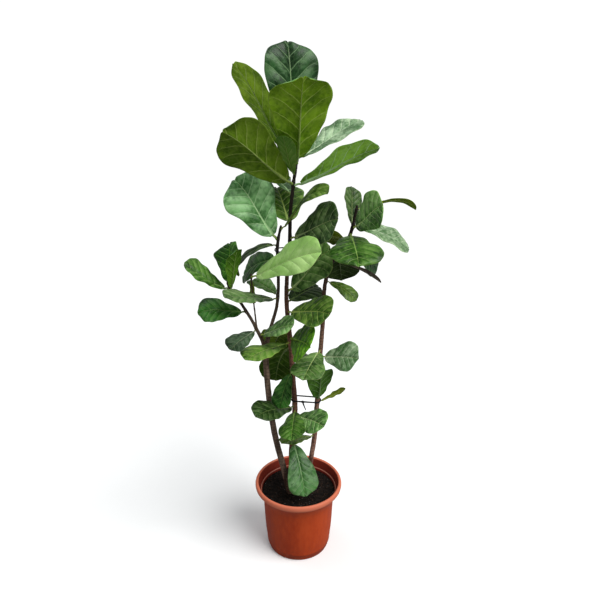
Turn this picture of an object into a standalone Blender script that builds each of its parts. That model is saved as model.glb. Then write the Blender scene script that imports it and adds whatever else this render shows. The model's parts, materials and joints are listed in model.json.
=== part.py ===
"""Potted fiddle leaf fig: three stems in one round nursery pot.

Metres, Z up, and the origin is the centre of the pot's base, on the floor.
The pot, the soil and each stem is one solid. Each leaf is one solid too,
its stalk included, and its base follows the stem that carries it.
"""
import math

import bmesh
import bpy
from mathutils import Matrix, Vector

# Pot and soil
POT_HEIGHT = 0.2525
RIM_RADIUS = 0.1455       # outside of the rolled lip
BODY_RADIUS = 0.1185      # wall just under the lip
BASE_RADIUS = 0.1100      # wall where the foot starts to round in
LIP_HEIGHT = 0.0200
WALL = 0.0030
FOOT_HEIGHT = 0.0450
POT_SIDES = 48
DRAIN_RADIUS = 0.006
DRAIN_CIRCLE = 0.055
SOIL_DROP = 0.0375        # from the top of the lip down to the soil
STEM_DEPTH = 0.060        # how far each stem goes into the soil

# Plant
GAP = 0.0003              # kept between pieces that touch
STEM_SIDES = 8
STEM_SCALE = 1.0          # thickness of every stem
LEAF_SCALE = 1.0          # length and width of every leaf
STALK_SHARE = 0.05        # of a leaf's length
STALK_RADIUS = 0.019      # of a leaf's width
BLADE_HALF = 0.0007       # half the blade's thickness
MIDRIB_DEPTH = 0.0012     # how far the midrib stands out below

SOIL_LEVEL = POT_HEIGHT - SOIL_DROP
LIFT = SOIL_LEVEL - 0.2150  # the plant's heights below are for soil at 0.2150

# Each stem's centre line, from the soil up: x, y, z and radius.
STEMS = {
    "left_stem": [
        (-0.028, -0.020, 0.209, 0.0115),
        (-0.050, -0.020, 0.320, 0.0108),
        (-0.065, -0.020, 0.385, 0.0106),
        (-0.078, -0.020, 0.455, 0.0105),
        (-0.088, -0.018, 0.535, 0.0105),
        (-0.096, -0.012, 0.610, 0.0102),
        (-0.100, -0.008, 0.682, 0.0100),
        (-0.101, -0.002, 0.733, 0.0095),
        (-0.094, 0.010, 0.777, 0.0075),
        (-0.081, 0.022, 0.822, 0.0062),
        (-0.067, 0.026, 0.870, 0.0058),
        (-0.060, 0.018, 0.932, 0.0056),
        (-0.060, 0.008, 1.005, 0.0054),
        (-0.061, 0.001, 1.065, 0.0052),
        (-0.056, 0.000, 1.107, 0.0048),
        (-0.049, 0.000, 1.140, 0.0038),
    ],
    "middle_stem": [
        (-0.015, 0.030, 0.209, 0.0108),
        (-0.024, 0.030, 0.330, 0.0100),
        (-0.017, 0.030, 0.430, 0.0096),
        (-0.011, 0.023, 0.512, 0.0094),
        (-0.013, 0.020, 0.570, 0.0094),
        (-0.018, 0.020, 0.642, 0.0090),
        (-0.022, 0.020, 0.730, 0.0086),
        (-0.030, 0.017, 0.816, 0.0080),
        (-0.036, 0.012, 0.903, 0.0072),
        (-0.033, 0.010, 0.985, 0.0068),
        (-0.025, 0.010, 1.062, 0.0064),
        (-0.023, 0.010, 1.167, 0.0060),
        (-0.017, 0.010, 1.225, 0.0056),
        (-0.011, 0.010, 1.273, 0.0054),
        (-0.004, 0.010, 1.325, 0.0052),
        (-0.002, 0.012, 1.388, 0.0044),
    ],
    "right_stem": [
        (0.024, 0.000, 0.209, 0.0096),
        (0.044, 0.002, 0.350, 0.0090),
        (0.054, 0.008, 0.423, 0.0088),
        (0.058, 0.010, 0.500, 0.0086),
        (0.061, 0.010, 0.556, 0.0085),
        (0.066, 0.010, 0.647, 0.0083),
        (0.069, 0.010, 0.718, 0.0080),
        (0.072, 0.010, 0.770, 0.0078),
        (0.076, 0.010, 0.837, 0.0074),
        (0.078, 0.010, 0.903, 0.0070),
        (0.080, 0.010, 0.952, 0.0066),
        (0.092, 0.010, 1.006, 0.0062),
        (0.117, 0.010, 1.055, 0.0058),
        (0.142, 0.010, 1.086, 0.0056),
        (0.154, 0.010, 1.116, 0.0054),
        (0.162, 0.010, 1.152, 0.0050),
        (0.169, 0.010, 1.196, 0.0042),
    ],
}

# Side shoots of the left stem, grown as one with it.
SHOOTS = {
    "left_branch": [
        (-0.101, -0.004, 0.735, 0.0074),
        (-0.111, -0.010, 0.779, 0.0066),
        (-0.125, -0.020, 0.817, 0.0060),
        (-0.142, -0.028, 0.858, 0.0056),
        (-0.164, -0.032, 0.900, 0.0052),
        (-0.185, -0.030, 0.932, 0.0048),
        (-0.202, -0.022, 0.953, 0.0044),
        (-0.211, -0.012, 0.970, 0.0036),
    ],
    "left_twig": [
        (-0.125, -0.020, 0.817, 0.0036),
        (-0.131, -0.010, 0.870, 0.0034),
        (-0.137, 0.002, 0.930, 0.0032),
        (-0.141, 0.006, 0.990, 0.0028),
    ],
}

# Two thin ties that hold stems together: the stems, height and wire radius.
TIES = {
    "upper_tie": ("left_stem", "middle_stem", 1.064, 0.0012),
    "lower_tie": ("middle_stem", "right_stem", 0.556, 0.0017),
}

# Leaves, lowest first on each stem: name, carrier, height of the base,
# heading and rise of the leaf from base to tip in degrees (heading 0 is +X),
# length, width, roll about its length, arch (how much it bends down towards
# its tip) and cup (how far its margins stand above the midrib).
LEAVES = [
    ("middle_leaf_01", "middle_stem", 0.388, -70, -46, 0.172, 0.105, 0, 20, 0.05),
    ("middle_leaf_02", "middle_stem", 0.495, -55, 12, 0.150, 0.092, -35, 15, 0.10),
    ("middle_leaf_03", "middle_stem", 0.515, -94, -6, 0.145, 0.085, -10, 20, 0.00),
    ("middle_leaf_04", "middle_stem", 0.530, -127, 15, 0.190, 0.090, 20, 20, 0.10),
    ("middle_leaf_05", "middle_stem", 0.655, -117, -44, 0.115, 0.075, -10, 20, 0.05),
    ("middle_leaf_06", "middle_stem", 0.685, 42, -22, 0.120, 0.105, -15, 20, 0.00),
    ("middle_leaf_07", "middle_stem", 0.735, 123, -58, 0.175, 0.120, -30, 25, 0.00),
    ("middle_leaf_08", "middle_stem", 0.775, -66, 12, 0.140, 0.128, -60, 15, 0.05),
    ("middle_leaf_09", "middle_stem", 0.760, -131, 3, 0.185, 0.100, 0, 15, 0.05),
    ("middle_leaf_10", "middle_stem", 0.800, 117, -43, 0.150, 0.115, -35, 20, 0.00),
    ("middle_leaf_11", "middle_stem", 0.865, -44, 13, 0.170, 0.112, -40, 15, 0.05),
    ("middle_leaf_12", "middle_stem", 0.895, 47, 4, 0.140, 0.105, -20, 15, 0.05),
    ("middle_leaf_13", "middle_stem", 0.935, -14, 46, 0.185, 0.135, -55, 15, 0.10),
    ("middle_leaf_14", "middle_stem", 1.100, -40, 26, 0.185, 0.125, -60, 10, 0.05),
    ("middle_leaf_15", "middle_stem", 1.140, 104, 22, 0.180, 0.150, 0, 15, 0.10),
    ("middle_leaf_16", "middle_stem", 1.226, 116, 10, 0.215, 0.135, -20, 15, 0.10),
    ("middle_leaf_17", "middle_stem", 1.255, -14, 25, 0.255, 0.130, 29, 10, 0.20),
    ("middle_leaf_18", "middle_stem", 1.258, -146, 36, 0.260, 0.150, -60, 10, 0.08),
    ("middle_leaf_19", "middle_stem", 1.285, -108, 50, 0.145, 0.055, 5, 0, 0.10),
    ("middle_leaf_20", "middle_stem", 1.330, 26, 24, 0.215, 0.130, -5, 10, 0.10),
    ("middle_leaf_21", "middle_stem", 1.330, -167, 56, 0.292, 0.130, -25, 10, 0.05),
    ("middle_leaf_22", "middle_stem", 1.318, -82, 60, 0.255, 0.168, -5, 10, 0.10),
    ("middle_leaf_23", "middle_stem", 1.375, 104, 67, 0.270, 0.158, -5, 10, 0.12),
    ("left_leaf_01", "left_stem", 0.905, -138, 15, 0.195, 0.092, 10, 10, 0.05),
    ("left_leaf_02", "left_stem", 0.915, 136, 10, 0.110, 0.085, 0, 15, 0.10),
    ("left_leaf_03", "left_stem", 1.030, 136, -28, 0.170, 0.110, 45, 20, 0.05),
    ("left_leaf_04", "left_stem", 1.078, 166, -40, 0.155, 0.070, 15, 80, 0.00),
    ("left_leaf_05", "left_stem", 1.098, 161, 51, 0.205, 0.160, 45, 15, 0.10),
    ("left_leaf_06", "left_stem", 1.130, -32, 38, 0.190, 0.080, -25, 60, 0.05),
    ("branch_leaf_01", "left_branch", 0.800, -32, 26, 0.130, 0.080, -30, 15, 0.10),
    ("branch_leaf_02", "left_branch", 0.820, -138, -20, 0.100, 0.085, 5, 20, 0.05),
    ("branch_leaf_03", "left_branch", 0.885, -172, 0, 0.135, 0.100, 25, 30, 0.00),
    ("branch_leaf_04", "left_branch", 0.950, -55, 71, 0.135, 0.070, -20, 10, 0.10),
    ("branch_leaf_05", "left_branch", 0.955, -170, 32, 0.145, 0.100, 15, 0, 0.20),
    ("branch_leaf_06", "left_branch", 0.965, 88, 56, 0.120, 0.105, 40, 15, 0.25),
    ("twig_leaf_01", "left_twig", 0.972, 88, -69, 0.092, 0.045, -60, 15, 0.00),
    ("twig_leaf_02", "left_twig", 0.980, -35, 26, 0.270, 0.110, -55, 15, 0.10),
    ("right_leaf_01", "right_stem", 0.425, -143, 9, 0.125, 0.080, -10, 10, 0.05),
    ("right_leaf_02", "right_stem", 0.553, 13, 19, 0.090, 0.070, 48, 5, 0.00),
    ("right_leaf_03", "right_stem", 0.567, -81, 62, 0.135, 0.090, -15, 10, 0.10),
    ("right_leaf_04", "right_stem", 0.715, -28, 9, 0.120, 0.100, -45, 10, 0.10),
    ("right_leaf_05", "right_stem", 0.735, -114, -15, 0.132, 0.108, 0, 15, 0.00),
    ("right_leaf_06", "right_stem", 0.965, -23, -27, 0.102, 0.055, -20, 30, 0.00),
    ("right_leaf_07", "right_stem", 0.985, 122, -6, 0.110, 0.085, -75, 15, 0.10),
    ("right_leaf_08", "right_stem", 1.050, 76, -53, 0.130, 0.120, 15, 25, 0.00),
    ("right_leaf_09", "right_stem", 1.035, 2, -28, 0.158, 0.014, -45, 20, 0.10),
    ("right_leaf_10", "right_stem", 1.085, 36, -45, 0.165, 0.105, -60, 35, 0.00),
    ("right_leaf_11", "right_stem", 1.090, 130, -7, 0.135, 0.100, -50, 15, 0.10),
    ("right_leaf_12", "right_stem", 1.110, -87, -10, 0.185, 0.150, 0, 20, 0.00),
    ("right_leaf_13", "right_stem", 1.130, 89, 60, 0.115, 0.070, -40, 10, 0.15),
    ("right_leaf_14", "right_stem", 1.135, 7, -24, 0.180, 0.122, -15, 20, 0.05),
    ("right_leaf_15", "right_stem", 1.132, -52, 36, 0.140, 0.110, -82, 15, 0.05),
    ("right_leaf_16", "right_stem", 1.185, 6, -2, 0.170, 0.028, 40, 60, 0.00),
]
YOUNG_LEAVES = {"twig_leaf_02", "middle_leaf_19"}
DRY_LEAVES = {"right_leaf_09"}

# A blade's outline: how far along it, and its half-width as a share of the
# widest. It narrows to a waist, as a violin does, and ends broad and round.
OUTLINE = [
    (0.00, 0.13), (0.07, 0.33), (0.20, 0.51), (0.35, 0.66), (0.50, 0.84),
    (0.62, 0.96), (0.74, 1.00), (0.86, 0.90), (0.95, 0.63), (1.00, 0.22),
]

for old in list(bpy.data.objects):
    bpy.data.objects.remove(old, do_unlink=True)


def material(name, colour, roughness):
    """A plain Principled material."""
    made = bpy.data.materials.new(name)
    made.use_nodes = True
    shader = made.node_tree.nodes["Principled BSDF"]
    shader.inputs["Base Color"].default_value = (*colour, 1.0)
    shader.inputs["Roughness"].default_value = roughness
    shader.inputs["Metallic"].default_value = 0.0
    made.diffuse_color = (*colour, 1.0)
    return made


TERRACOTTA = material("pot_plastic", (0.36, 0.085, 0.032), 0.45)
COMPOST = material("compost", (0.020, 0.013, 0.009), 0.95)
BARK = material("bark", (0.110, 0.070, 0.048), 0.80)
WIRE = material("tie_wire", (0.015, 0.018, 0.025), 0.50)
LEAF = material("leaf_green", (0.060, 0.150, 0.035), 0.40)
YOUNG = material("leaf_young", (0.240, 0.400, 0.130), 0.45)
DRY = material("leaf_dry", (0.110, 0.085, 0.055), 0.85)


def add(name, mesh, skin, smooth=True):
    """An object from a bmesh, its faces turned outward."""
    bmesh.ops.recalc_face_normals(mesh, faces=mesh.faces)
    data = bpy.data.meshes.new(name)
    mesh.to_mesh(data)
    mesh.free()
    for face in data.polygons:
        face.use_smooth = smooth
    piece = bpy.data.objects.new(name, data)
    bpy.context.collection.objects.link(piece)
    data.materials.append(skin)
    return piece


def revolve(profile, steps):
    """A closed solid of revolution from (radius, height) points."""
    mesh = bmesh.new()
    points = [mesh.verts.new((r, 0, z)) for r, z in profile]
    edges = [mesh.edges.new(pair) for pair in zip(points, points[1:])]
    bmesh.ops.spin(mesh, geom=points + edges, cent=(0, 0, 0), axis=(0, 0, 1),
                   angle=2 * math.pi, steps=steps, use_merge=True)
    bmesh.ops.remove_doubles(mesh, verts=mesh.verts, dist=0.00005)
    return mesh


def boolean(target, other, operation):
    """Applies as EXACT, with the other object kept out of the render."""
    cut = target.modifiers.new(other.name, "BOOLEAN")
    cut.operation = operation
    cut.solver = "EXACT"
    cut.object = other
    other.hide_render = True
    other.display_type = "WIRE"


def foot(inset):
    """The pot's rounded foot, from the base up, moved in by a thickness."""
    return [
        (BASE_RADIUS - 0.0110 - 0.3 * inset, inset),
        (BASE_RADIUS - 0.0080 - 0.5 * inset, 0.0012 + inset),
        (BASE_RADIUS - 0.0055 - 0.9 * inset, 0.0060 + 0.6 * inset),
        (BASE_RADIUS - 0.0030 - inset, 0.0200 + 0.2 * inset),
        (BASE_RADIUS - inset, FOOT_HEIGHT),
    ]


# Pot: a small rounded foot, a slightly bellied wall, a cove and a deep rolled lip.
lip_base = POT_HEIGHT - LIP_HEIGHT
outside = [(0, 0)] + foot(0) + [
    (BODY_RADIUS - 0.0040, FOOT_HEIGHT + 0.0550),
    (BODY_RADIUS, lip_base - 0.0460),
    (BODY_RADIUS + 0.0025, lip_base - 0.0330),
    (BODY_RADIUS + 0.0075, lip_base - 0.0190),
    (BODY_RADIUS + 0.0130, lip_base - 0.0080),
    (RIM_RADIUS - 0.0045, lip_base),
    (RIM_RADIUS, lip_base + 0.0050),
    (RIM_RADIUS, POT_HEIGHT - 0.0060),
    (RIM_RADIUS - 0.0025, POT_HEIGHT - 0.0010),
    (RIM_RADIUS - 0.0065, POT_HEIGHT),
]
ledge_radius = BODY_RADIUS + 0.0050
inside = [
    (RIM_RADIUS - 0.0105, POT_HEIGHT - 0.0030),
    (RIM_RADIUS - 0.0135, POT_HEIGHT - 0.0150),
    (ledge_radius + 0.0055, lip_base - 0.0050),
    (ledge_radius, SOIL_LEVEL + 0.0010),
    (BODY_RADIUS - 0.0005, SOIL_LEVEL - 0.0160),
    (BODY_RADIUS - WALL, SOIL_LEVEL - 0.0300),
    (BODY_RADIUS - WALL - 0.0040, FOOT_HEIGHT + 0.0550),
] + foot(WALL)[::-1] + [(0, WALL)]
pot = add("pot", revolve(outside + inside, POT_SIDES), TERRACOTTA)

drains = bmesh.new()
for i in range(6):
    turn = math.radians(60 * i + 30)
    place = Vector((DRAIN_CIRCLE * math.cos(turn), DRAIN_CIRCLE * math.sin(turn), 0))
    bmesh.ops.create_cone(drains, cap_ends=True, segments=12, radius1=DRAIN_RADIUS,
                          radius2=DRAIN_RADIUS, depth=0.02, matrix=Matrix.Translation(place))
boolean(pot, add("drain_cutter", drains, TERRACOTTA), "DIFFERENCE")


def smooth_route(route, parts=2):
    """The route, lifted, with Catmull-Rom points added between its own."""
    rows = [Vector(row) + Vector((0, 0, LIFT, 0)) for row in route]
    rows = [2 * rows[0] - rows[1]] + rows + [2 * rows[-1] - rows[-2]]
    made = []
    for a, b, c, d in zip(rows, rows[1:], rows[2:], rows[3:]):
        for step in range(parts):
            t = step / parts
            made.append(0.5 * (2 * b + (c - a) * t + (2 * a - 5 * b + 4 * c - d) * t * t
                               + (3 * b - a - 3 * c + d) * t ** 3))
    return made + [rows[-2]]


def tube(centres, radii, sides, closed=False):
    """A round tube along points, capped at its ends or closed on itself."""
    mesh = bmesh.new()
    count = len(centres)
    across = Vector((1, 0, 0)) if not closed else Vector((0, 0, 1))
    rings = []
    for i, centre in enumerate(centres):
        if closed:
            ahead, behind = centres[(i + 1) % count], centres[i - 1]
        else:
            ahead, behind = centres[min(i + 1, count - 1)], centres[max(i - 1, 0)]
        along = (ahead - behind).normalized()
        across = (across - along * across.dot(along)).normalized()
        third = along.cross(across)
        turns = [2 * math.pi * k / sides for k in range(sides)]
        rings.append([
            mesh.verts.new(centre + radii[i] * (math.cos(t) * across + math.sin(t) * third))
            for t in turns
        ])
    pairs = list(zip(rings, rings[1:])) + ([(rings[-1], rings[0])] if closed else [])
    for low, high in pairs:
        for k in range(sides):
            n = (k + 1) % sides
            mesh.faces.new((low[k], low[n], high[n], high[k]))
    if not closed:
        mesh.faces.new(rings[0][::-1])
        mesh.faces.new(rings[-1])
    return mesh


def stem_tube(route, extra=0.0, sink=0.0):
    """A stem's mesh. Extra widens it and sink lengthens its foot."""
    rows = smooth_route(route)
    centres = [row.to_3d() for row in rows]
    radii = [row[3] * STEM_SCALE + extra for row in rows]
    if sink:
        lean = (centres[0] - centres[1]).normalized()
        centres.insert(0, centres[0] + lean * sink)
        radii.insert(0, radii[0] * 1.06)
    return tube(centres, radii, STEM_SIDES)


# Stems, with the left stem's two side shoots joined to it.
stems = {
    name: add(name, stem_tube(route, sink=STEM_DEPTH), BARK) for name, route in STEMS.items()
}
for name, route in SHOOTS.items():
    boolean(stems["left_stem"], add(name, stem_tube(route), BARK), "UNION")

# Soil: it fills the pot up to the ledge, with a hole for each stem.
fill = [(0, WALL + GAP)] + foot(WALL + 1.3 * GAP) + [
    (BODY_RADIUS - WALL - 0.0040 - 1.3 * GAP, FOOT_HEIGHT + 0.0550),
    (BODY_RADIUS - WALL - 1.2 * GAP, SOIL_LEVEL - 0.0300),
    (BODY_RADIUS - 0.0005 - 1.2 * GAP, SOIL_LEVEL - 0.0160),
    (ledge_radius - 0.0009, SOIL_LEVEL - 0.0003),
    (0.090, SOIL_LEVEL + 0.0005),
    (0.045, SOIL_LEVEL + 0.0015),
    (0, SOIL_LEVEL + 0.0020),
]
soil = add("soil", revolve(fill, POT_SIDES), COMPOST)
for name, route in STEMS.items():
    cutter = add("soil_cutter_" + name, stem_tube(route, GAP, STEM_DEPTH + GAP), COMPOST)
    boolean(soil, cutter, "DIFFERENCE")


def place_on(carrier, height):
    """Centre, direction and radius of a stem or shoot at one of the tables' heights."""
    height += LIFT
    rows = smooth_route({**STEMS, **SHOOTS}[carrier], 4)
    for low, high in zip(rows, rows[1:]):
        if low.z <= height <= high.z:
            share = (height - low.z) / (high.z - low.z)
            spot = low.lerp(high, share)
            return spot.to_3d(), (high - low).to_3d().normalized(), spot[3] * STEM_SCALE
    raise ValueError(f"{carrier} doesn't reach {height} m")


# Ties: each is a wire loop round two stems.
def tie(name, first, second, height, wire):
    a, _, a_radius = place_on(first, height)
    b, _, b_radius = place_on(second, height)
    out = (b - a).to_2d().normalized().to_3d()
    side = Vector((-out.y, out.x, 0))
    path = []
    for centre, radius, start in ((b, b_radius, -90), (a, a_radius, 90)):
        reach = radius + wire + 2 * GAP
        for i in range(9):
            turn = math.radians(start + 180 * i / 8)
            path.append(centre + reach * (math.cos(turn) * out + math.sin(turn) * side)
                        + Vector((0, 0, 0.004 * math.sin(turn))))
    return add(name, tube(path, [wire] * len(path), 6, closed=True), WIRE)


ties = {name: tie(name, *row) for name, row in TIES.items()}
a, _, a_radius = place_on("middle_stem", TIES["lower_tie"][2])
b, _, _ = place_on("right_stem", TIES["lower_tie"][2])
knot = a.lerp(b, 0.36) + Vector((0, -a_radius - 0.0015, -0.004))
tail = [knot + Vector(step) for step in (
    (-0.001, 0.000, 0.003), (0.001, -0.001, -0.004), (0.004, -0.002, -0.014), (0.010, -0.002, -0.030))]
boolean(ties["lower_tie"], add("tie_tail", tube(tail, [0.0022, 0.0024, 0.0012, 0.0010], 6), WIRE), "UNION")


def direction(heading, rise):
    """A unit vector from two angles in degrees."""
    h, r = math.radians(heading), math.radians(rise)
    return Vector((math.cos(h) * math.cos(r), math.sin(h) * math.cos(r), math.sin(r)))


def leaf(name, carrier, height, heading, rise, length, width, roll, arch, cup):
    """One leaf: a stalk that comes straight out of the bark, then the blade."""
    length, width = length * LEAF_SCALE, width * LEAF_SCALE
    centre, lean, bark_radius = place_on(carrier, height)
    flat = direction(heading, 0)
    out = (flat - lean * flat.dot(lean)).normalized()
    base = centre + out * (bark_radius + GAP)
    tip = centre + direction(heading, rise) * (length + bark_radius)
    first = (0.6 * out + direction(heading, rise + 0.6 * arch)).normalized()
    last = direction(heading, rise - arch)
    curve = [base, base + first * length / 3, tip - last * length / 3, tip]

    def at(t):
        s = 1 - t
        point = (s ** 3 * curve[0] + 3 * s * s * t * curve[1]
                 + 3 * s * t * t * curve[2] + t ** 3 * curve[3])
        slope = (s * s * (curve[1] - curve[0]) + 2 * s * t * (curve[2] - curve[1])
                 + t * t * (curve[3] - curve[2])).normalized()
        return point, slope

    flank = Vector((math.sin(math.radians(heading)), -math.cos(math.radians(heading)), 0))
    turn = math.radians(roll)
    stalk = STALK_RADIUS * width + 0.0006
    stations = [(0.0, "stalk", stalk * 1.15), (STALK_SHARE, "stalk", stalk)]
    stations += [
        (STALK_SHARE + 0.02 + (0.98 - STALK_SHARE) * v, "blade", share * width / 2)
        for v, share in OUTLINE
    ]
    mesh = bmesh.new()
    rings = []
    for t, kind, half in stations:
        point, slope = at(t)
        if t == 0:
            slope = out
        up = flank.cross(slope).normalized()
        right = slope.cross(up)
        right, up = (right * math.cos(turn) + up * math.sin(turn),
                     up * math.cos(turn) - right * math.sin(turn))
        if kind == "stalk":
            # Flat above and round below.
            section = [(-1, 0), (-0.5, 0.35), (0, 0.4), (0.5, 0.35),
                       (1, 0), (0.6, -0.8), (0, -1), (-0.6, -0.8)]
            section = [(half * x, half * y) for x, y in section]
        else:
            thin = BLADE_HALF * min(1.0, half / 0.015)
            rib = MIDRIB_DEPTH * (1.0 - 0.75 * t)
            edge, mid = cup * half, (0.5 * cup + 0.05) * half
            section = [(-half, edge), (-half / 2, mid + thin), (0, thin), (half / 2, mid + thin),
                       (half, edge), (half / 2, mid - thin), (0, -thin - rib), (-half / 2, mid - thin)]
        rings.append([mesh.verts.new(point + x * right + y * up) for x, y in section])
    for low, high in zip(rings, rings[1:]):
        for k in range(8):
            n = (k + 1) % 8
            mesh.faces.new((low[k], low[n], high[n], high[k]))
    mesh.faces.new(rings[0][::-1])
    mesh.faces.new(rings[-1])
    skin = YOUNG if name in YOUNG_LEAVES else DRY if name in DRY_LEAVES else LEAF
    return add(name, mesh, skin)


for row in LEAVES:
    leaf(*row)
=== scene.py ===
# %% [markdown]
# # A potted fiddle leaf fig
# Three woody stems share one round nursery pot. They are tied to each other,
# and they carry broad leathery leaves: glossy and deep green above, dull and
# olive below, with pale veins that sink between puckered fields.
#
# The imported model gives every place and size. Each piece below is a finer
# shape laid over one of its solids, so nothing has to be fitted by eye.

import json
import math
import random

import bmesh
import bpy
import numpy as np
from mathutils import Matrix, Vector, noise
from mathutils.bvhtree import BVHTree

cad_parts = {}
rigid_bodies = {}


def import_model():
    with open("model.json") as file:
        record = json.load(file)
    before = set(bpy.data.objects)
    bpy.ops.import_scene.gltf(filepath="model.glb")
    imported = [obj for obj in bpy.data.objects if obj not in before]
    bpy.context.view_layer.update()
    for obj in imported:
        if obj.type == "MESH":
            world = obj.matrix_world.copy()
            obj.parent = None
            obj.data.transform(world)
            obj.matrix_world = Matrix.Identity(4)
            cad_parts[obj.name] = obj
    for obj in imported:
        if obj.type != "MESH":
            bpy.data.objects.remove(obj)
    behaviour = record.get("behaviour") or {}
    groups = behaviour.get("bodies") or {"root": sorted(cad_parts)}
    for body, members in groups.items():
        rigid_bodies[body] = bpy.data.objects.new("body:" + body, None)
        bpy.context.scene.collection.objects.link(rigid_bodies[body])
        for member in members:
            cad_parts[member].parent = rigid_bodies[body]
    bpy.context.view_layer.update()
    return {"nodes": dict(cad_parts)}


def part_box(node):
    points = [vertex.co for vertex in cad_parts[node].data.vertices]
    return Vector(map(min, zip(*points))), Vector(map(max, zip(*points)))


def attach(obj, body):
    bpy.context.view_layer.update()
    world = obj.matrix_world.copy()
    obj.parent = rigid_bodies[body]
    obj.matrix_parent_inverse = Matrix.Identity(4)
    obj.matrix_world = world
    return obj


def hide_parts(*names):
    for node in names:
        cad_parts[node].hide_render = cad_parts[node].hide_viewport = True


for old in list(bpy.data.objects):
    bpy.data.objects.remove(old)
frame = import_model()
solids = frame["nodes"]

# %% [markdown]
# ## Studio
# A plant this tall is shown from a little above its middle, so that the pot's
# soil is seen and the upper leaves are seen from below. The camera stands
# still and looks down along +Y.

# %% Camera
lens = bpy.data.cameras.new("studio_camera")
lens.lens, lens.sensor_width = 38.52, 36.0
camera = bpy.data.objects.new("studio_camera", lens)
camera.location = (0.0054, -1.8, 1.62)
camera.rotation_euler = (math.radians(90 - 21.6), 0, 0)
bpy.context.scene.collection.objects.link(camera)
bpy.context.scene.camera = camera
print(f"camera {camera.location.z} m up, {-camera.location.y} m away")

# %% [markdown]
# The light is soft and comes mostly from above and from the right. A sun as
# wide as a cloudy sky lights the floor evenly, and a cool box overhead puts
# the bluish sheen on leaves that lie flat. The surround is dim, so that
# colours stay deep, but the camera itself sees a bright plain backdrop.


# %% Lights
def softbox(name, place, aim, size, power, tint):
    """A square area light that the camera itself doesn't see."""
    lamp = bpy.data.lights.new(name, "AREA")
    lamp.size, lamp.energy, lamp.color = size, power, tint
    box = bpy.data.objects.new(name, lamp)
    box.location = place
    box.rotation_euler = (Vector(aim) - Vector(place)).to_track_quat("-Z", "Y").to_euler()
    box.visible_camera = False
    bpy.context.scene.collection.objects.link(box)
    return box


softbox("overhead_box", (-0.9, 0.5, 3.4), (0, 0, 1.0), 1.8, 22, (0.88, 0.96, 1.0))
lamp = bpy.data.lights.new("cloudy_sun", "SUN")
lamp.energy, lamp.angle, lamp.color = 3.1, math.radians(45), (1.0, 0.995, 0.98)
sun = bpy.data.objects.new("cloudy_sun", lamp)
sun.rotation_euler = Vector((-0.80, 0.55, -1.22)).to_track_quat("-Z", "Y").to_euler()
bpy.context.scene.collection.objects.link(sun)

sky = bpy.data.worlds.new("pale_studio")
sky.use_nodes = True
around = sky.node_tree.nodes["Background"]
around.inputs["Color"].default_value = (1.0, 1.0, 1.0, 1)
seen = sky.node_tree.nodes.new("ShaderNodeLightPath").outputs["Is Camera Ray"]
level = sky.node_tree.nodes.new("ShaderNodeMapRange")
level.inputs[3].default_value, level.inputs[4].default_value = 0.33, 1.05
sky.node_tree.links.new(seen, level.inputs[0])
sky.node_tree.links.new(level.outputs[0], around.inputs["Strength"])
bpy.context.scene.world = sky
bpy.context.scene.view_settings.view_transform = "Standard"
print("a wide sun, a soft box and a pale surround")

# %% [markdown]
# ## Shader nodes
# Every finish here is a tree of nodes round one Principled shader. Two short
# helpers keep those trees readable: one adds a node and links its inputs, and
# the others are the three small sums that come up all the time.


# %% Node helpers
def put(tree, kind, inputs=None, **settings):
    """Adds a shader node. Inputs maps a socket to a value or to an output."""
    made = tree.nodes.new("ShaderNode" + kind)
    for key, value in settings.items():
        setattr(made, key, value)
    for key, value in (inputs or {}).items():
        if isinstance(value, bpy.types.NodeSocket):
            tree.links.new(value, made.inputs[key])
        else:
            made.inputs[key].default_value = value
    return made


def sums(tree, operation, a, b=0.0):
    """One step of arithmetic between two numbers or outputs."""
    return put(tree, "Math", {0: a, 1: b}, operation=operation).outputs[0]


def fade(tree, value, start, end, low=0.0, high=1.0):
    """Low before start, high after end, and a smooth change between."""
    inputs = {0: value, 1: start, 2: end, 3: low, 4: high}
    return put(tree, "MapRange", inputs, interpolation_type="SMOOTHSTEP").outputs[0]


def dye(tree, share, under, over, mode="MIX"):
    """Colour over on colour under."""
    node = put(tree, "Mix", {0: share, 6: under, 7: over}, data_type="RGBA", blend_type=mode)
    return node.outputs[2]


def rgb(*colour):
    """A colour as a socket takes it."""
    return (*colour, 1.0)


# %% [markdown]
# Some effects come back in several finishes, so each of them is a node group
# with named sockets. The first is mottling: two noises of different size that
# wander between two colours. No grown or moulded thing is one flat colour.


# %% Group: mottling
def group(name, takes, gives):
    """An empty node group with named inputs and outputs."""
    tree = bpy.data.node_groups.new(name, "ShaderNodeTree")
    for label, kind in takes.items():
        tree.interface.new_socket(label, in_out="INPUT", socket_type="NodeSocket" + kind)
    for label, kind in gives.items():
        tree.interface.new_socket(label, in_out="OUTPUT", socket_type="NodeSocket" + kind)
    return tree, tree.nodes.new("NodeGroupInput").outputs, tree.nodes.new("NodeGroupOutput").inputs


MOTTLE, takes, gives = group(
    "mottling", {"Vector": "Vector", "Scale": "Float", "Low": "Color", "High": "Color"},
    {"Colour": "Color", "Value": "Float"})
broad = put(MOTTLE, "TexNoise", {"Vector": takes["Vector"], "Scale": takes["Scale"],
                                 "Detail": 3.0, "Roughness": 0.55})
fine = put(MOTTLE, "TexNoise", {"Vector": takes["Vector"], "Detail": 2.0,
                                "Scale": sums(MOTTLE, "MULTIPLY", takes["Scale"], 7.3)})
both = sums(MOTTLE, "ADD", sums(MOTTLE, "MULTIPLY", broad.outputs[0], 0.7),
            sums(MOTTLE, "MULTIPLY", fine.outputs[0], 0.3))
value = fade(MOTTLE, both, 0.36, 0.64)
MOTTLE.links.new(value, gives["Value"])
MOTTLE.links.new(dye(MOTTLE, value, takes["Low"], takes["High"]), gives["Colour"])
print("mottling group ready")

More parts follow.
